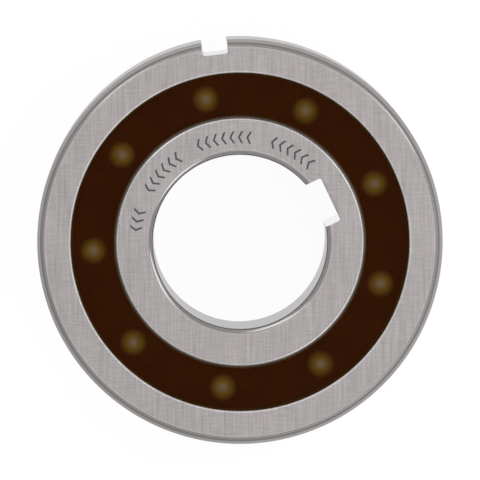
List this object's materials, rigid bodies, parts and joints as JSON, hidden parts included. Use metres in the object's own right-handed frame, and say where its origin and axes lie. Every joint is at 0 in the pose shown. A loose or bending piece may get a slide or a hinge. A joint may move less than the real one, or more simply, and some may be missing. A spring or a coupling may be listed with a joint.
{
  "type": "sprag clutch",
  "caption": "One-way sprag clutch in ball bearing form: keyed inner and outer rings around a split cage that holds balls and sprags in turn.",
  "frame": {"origin": "centre of the bore, on the middle plane between the two end faces", "axes": "+Z along the shaft, out of the front face, with the clutch lying on its rear face; seen on the front face, +X to the right and +Y up"},
  "size_m": [0.035, 0.035, 0.011],
  "materials": {
    "ring_steel": "ground and brushed bearing steel",
    "cage_resin": "matte moulded resin, dark amber brown",
    "ball_steel": "polished bearing steel",
    "sprag_steel": "hardened, barrel-finished steel",
    "spring_steel": "drawn spring wire"
  },
  "bodies": {
    "outer_ring": {"outer_ring": "ring_steel"},
    "inner_ring": {"inner_ring": "ring_steel"},
    "cage": {"cage_front_half": "cage_resin", "cage_rear_half": "cage_resin", "front_garter_spring": "spring_steel", "rear_garter_spring": "spring_steel"},
    "ball_1": {"ball_1": "ball_steel"},
    "ball_2": {"ball_2": "ball_steel"},
    "ball_3": {"ball_3": "ball_steel"},
    "ball_4": {"ball_4": "ball_steel"},
    "ball_5": {"ball_5": "ball_steel"},
    "ball_6": {"ball_6": "ball_steel"},
    "ball_7": {"ball_7": "ball_steel"},
    "ball_8": {"ball_8": "ball_steel"},
    "ball_9": {"ball_9": "ball_steel"},
    "sprag_1": {"sprag_1": "sprag_steel"},
    "sprag_2": {"sprag_2": "sprag_steel"},
    "sprag_3": {"sprag_3": "sprag_steel"},
    "sprag_4": {"sprag_4": "sprag_steel"},
    "sprag_5": {"sprag_5": "sprag_steel"},
    "sprag_6": {"sprag_6": "sprag_steel"},
    "sprag_7": {"sprag_7": "sprag_steel"},
    "sprag_8": {"sprag_8": "sprag_steel"},
    "sprag_9": {"sprag_9": "sprag_steel"}
  },
  "joints": [
    {"name": "inner_ring_turn", "type": "hinge", "parent": "outer_ring", "child": "inner_ring", "pos_m": [0, 0, 0], "axis": [0, 0, 1], "range_deg": [0, 3600]},
    {"name": "cage_turn", "type": "hinge", "parent": "outer_ring", "child": "cage", "pos_m": [0, 0, 0], "axis": [0, 0, 1], "range_deg": [0, 1445.94]},
    {"name": "ball_1_spin", "type": "hinge", "parent": "cage", "child": "ball_1", "pos_m": [-0.00293, 0.01231, 0], "axis": [0, 0, 1], "range_deg": [-8751.54, 0]},
    {"name": "ball_2_spin", "type": "hinge", "parent": "cage", "child": "ball_2", "pos_m": [-0.01016, 0.00754, 0], "axis": [0, 0, 1], "range_deg": [-8751.54, 0]},
    {"name": "ball_3_spin", "type": "hinge", "parent": "cage", "child": "ball_3", "pos_m": [-0.01263, -0.00075, 0], "axis": [0, 0, 1], "range_deg": [-8751.54, 0]},
    {"name": "ball_4_spin", "type": "hinge", "parent": "cage", "child": "ball_4", "pos_m": [-0.00919, -0.00869, 0], "axis": [0, 0, 1], "range_deg": [-8751.54, 0]},
    {"name": "ball_5_spin", "type": "hinge", "parent": "cage", "child": "ball_5", "pos_m": [-0.00145, -0.01257, 0], "axis": [0, 0, 1], "range_deg": [-8751.54, 0]},
    {"name": "ball_6_spin", "type": "hinge", "parent": "cage", "child": "ball_6", "pos_m": [0.00696, -0.01056, 0], "axis": [0, 0, 1], "range_deg": [-8751.54, 0]},
    {"name": "ball_7_spin", "type": "hinge", "parent": "cage", "child": "ball_7", "pos_m": [0.01212, -0.00361, 0], "axis": [0, 0, 1], "range_deg": [-8751.54, 0]},
    {"name": "ball_8_spin", "type": "hinge", "parent": "cage", "child": "ball_8", "pos_m": [0.01161, 0.00502, 0], "axis": [0, 0, 1], "range_deg": [-8751.54, 0]},
    {"name": "ball_9_spin", "type": "hinge", "parent": "cage", "child": "ball_9", "pos_m": [0.00566, 0.01131, 0], "axis": [0, 0, 1], "range_deg": [-8751.54, 0]},
    {"name": "sprag_1_tilt", "type": "hinge", "parent": "cage", "child": "sprag_1", "pos_m": [-0.00712, 0.0108, 0], "axis": [0, 0, -1], "range_deg": [0, 4]},
    {"name": "sprag_2_tilt", "type": "hinge", "parent": "cage", "child": "sprag_2", "pos_m": [-0.01239, 0.0037, 0], "axis": [0, 0, -1], "range_deg": [0, 4]},
    {"name": "sprag_3_tilt", "type": "hinge", "parent": "cage", "child": "sprag_3", "pos_m": [-0.01187, -0.00514, 0], "axis": [0, 0, -1], "range_deg": [0, 4]},
    {"name": "sprag_4_tilt", "type": "hinge", "parent": "cage", "child": "sprag_4", "pos_m": [-0.00579, -0.01156, 0], "axis": [0, 0, -1], "range_deg": [0, 4]},
    {"name": "sprag_5_tilt", "type": "hinge", "parent": "cage", "child": "sprag_5", "pos_m": [0.003, -0.01258, 0], "axis": [0, 0, -1], "range_deg": [0, 4]},
    {"name": "sprag_6_tilt", "type": "hinge", "parent": "cage", "child": "sprag_6", "pos_m": [0.01038, -0.00771, 0], "axis": [0, 0, -1], "range_deg": [0, 4]},
    {"name": "sprag_7_tilt", "type": "hinge", "parent": "cage", "child": "sprag_7", "pos_m": [0.01291, 0.00077, 0], "axis": [0, 0, -1], "range_deg": [0, 4]},
    {"name": "sprag_8_tilt", "type": "hinge", "parent": "cage", "child": "sprag_8", "pos_m": [0.0094, 0.00889, 0], "axis": [0, 0, -1], "range_deg": [0, 4]},
    {"name": "sprag_9_tilt", "type": "hinge", "parent": "cage", "child": "sprag_9", "pos_m": [0.00149, 0.01285, 0], "axis": [0, 0, -1], "range_deg": [0, 4]}
  ],
  "couplings": [
    {"joint": "cage_turn", "follows": "inner_ring_turn", "ratio": 0.40109},
    {"joint": "ball_1_spin", "follows": "inner_ring_turn", "ratio": -2.4288},
    {"joint": "ball_2_spin", "follows": "inner_ring_turn", "ratio": -2.4288},
    {"joint": "ball_3_spin", "follows": "inner_ring_turn", "ratio": -2.4288},
    {"joint": "ball_4_spin", "follows": "inner_ring_turn", "ratio": -2.4288},
    {"joint": "ball_5_spin", "follows": "inner_ring_turn", "ratio": -2.4288},
    {"joint": "ball_6_spin", "follows": "inner_ring_turn", "ratio": -2.4288},
    {"joint": "ball_7_spin", "follows": "inner_ring_turn", "ratio": -2.4288},
    {"joint": "ball_8_spin", "follows": "inner_ring_turn", "ratio": -2.4288},
    {"joint": "ball_9_spin", "follows": "inner_ring_turn", "ratio": -2.4288},
    {"joint": "sprag_2_tilt", "follows": "sprag_1_tilt", "ratio": 1},
    {"joint": "sprag_3_tilt", "follows": "sprag_1_tilt", "ratio": 1},
    {"joint": "sprag_4_tilt", "follows": "sprag_1_tilt", "ratio": 1},
    {"joint": "sprag_5_tilt", "follows": "sprag_1_tilt", "ratio": 1},
    {"joint": "sprag_6_tilt", "follows": "sprag_1_tilt", "ratio": 1},
    {"joint": "sprag_7_tilt", "follows": "sprag_1_tilt", "ratio": 1},
    {"joint": "sprag_8_tilt", "follows": "sprag_1_tilt", "ratio": 1},
    {"joint": "sprag_9_tilt", "follows": "sprag_1_tilt", "ratio": 1}
  ]
}
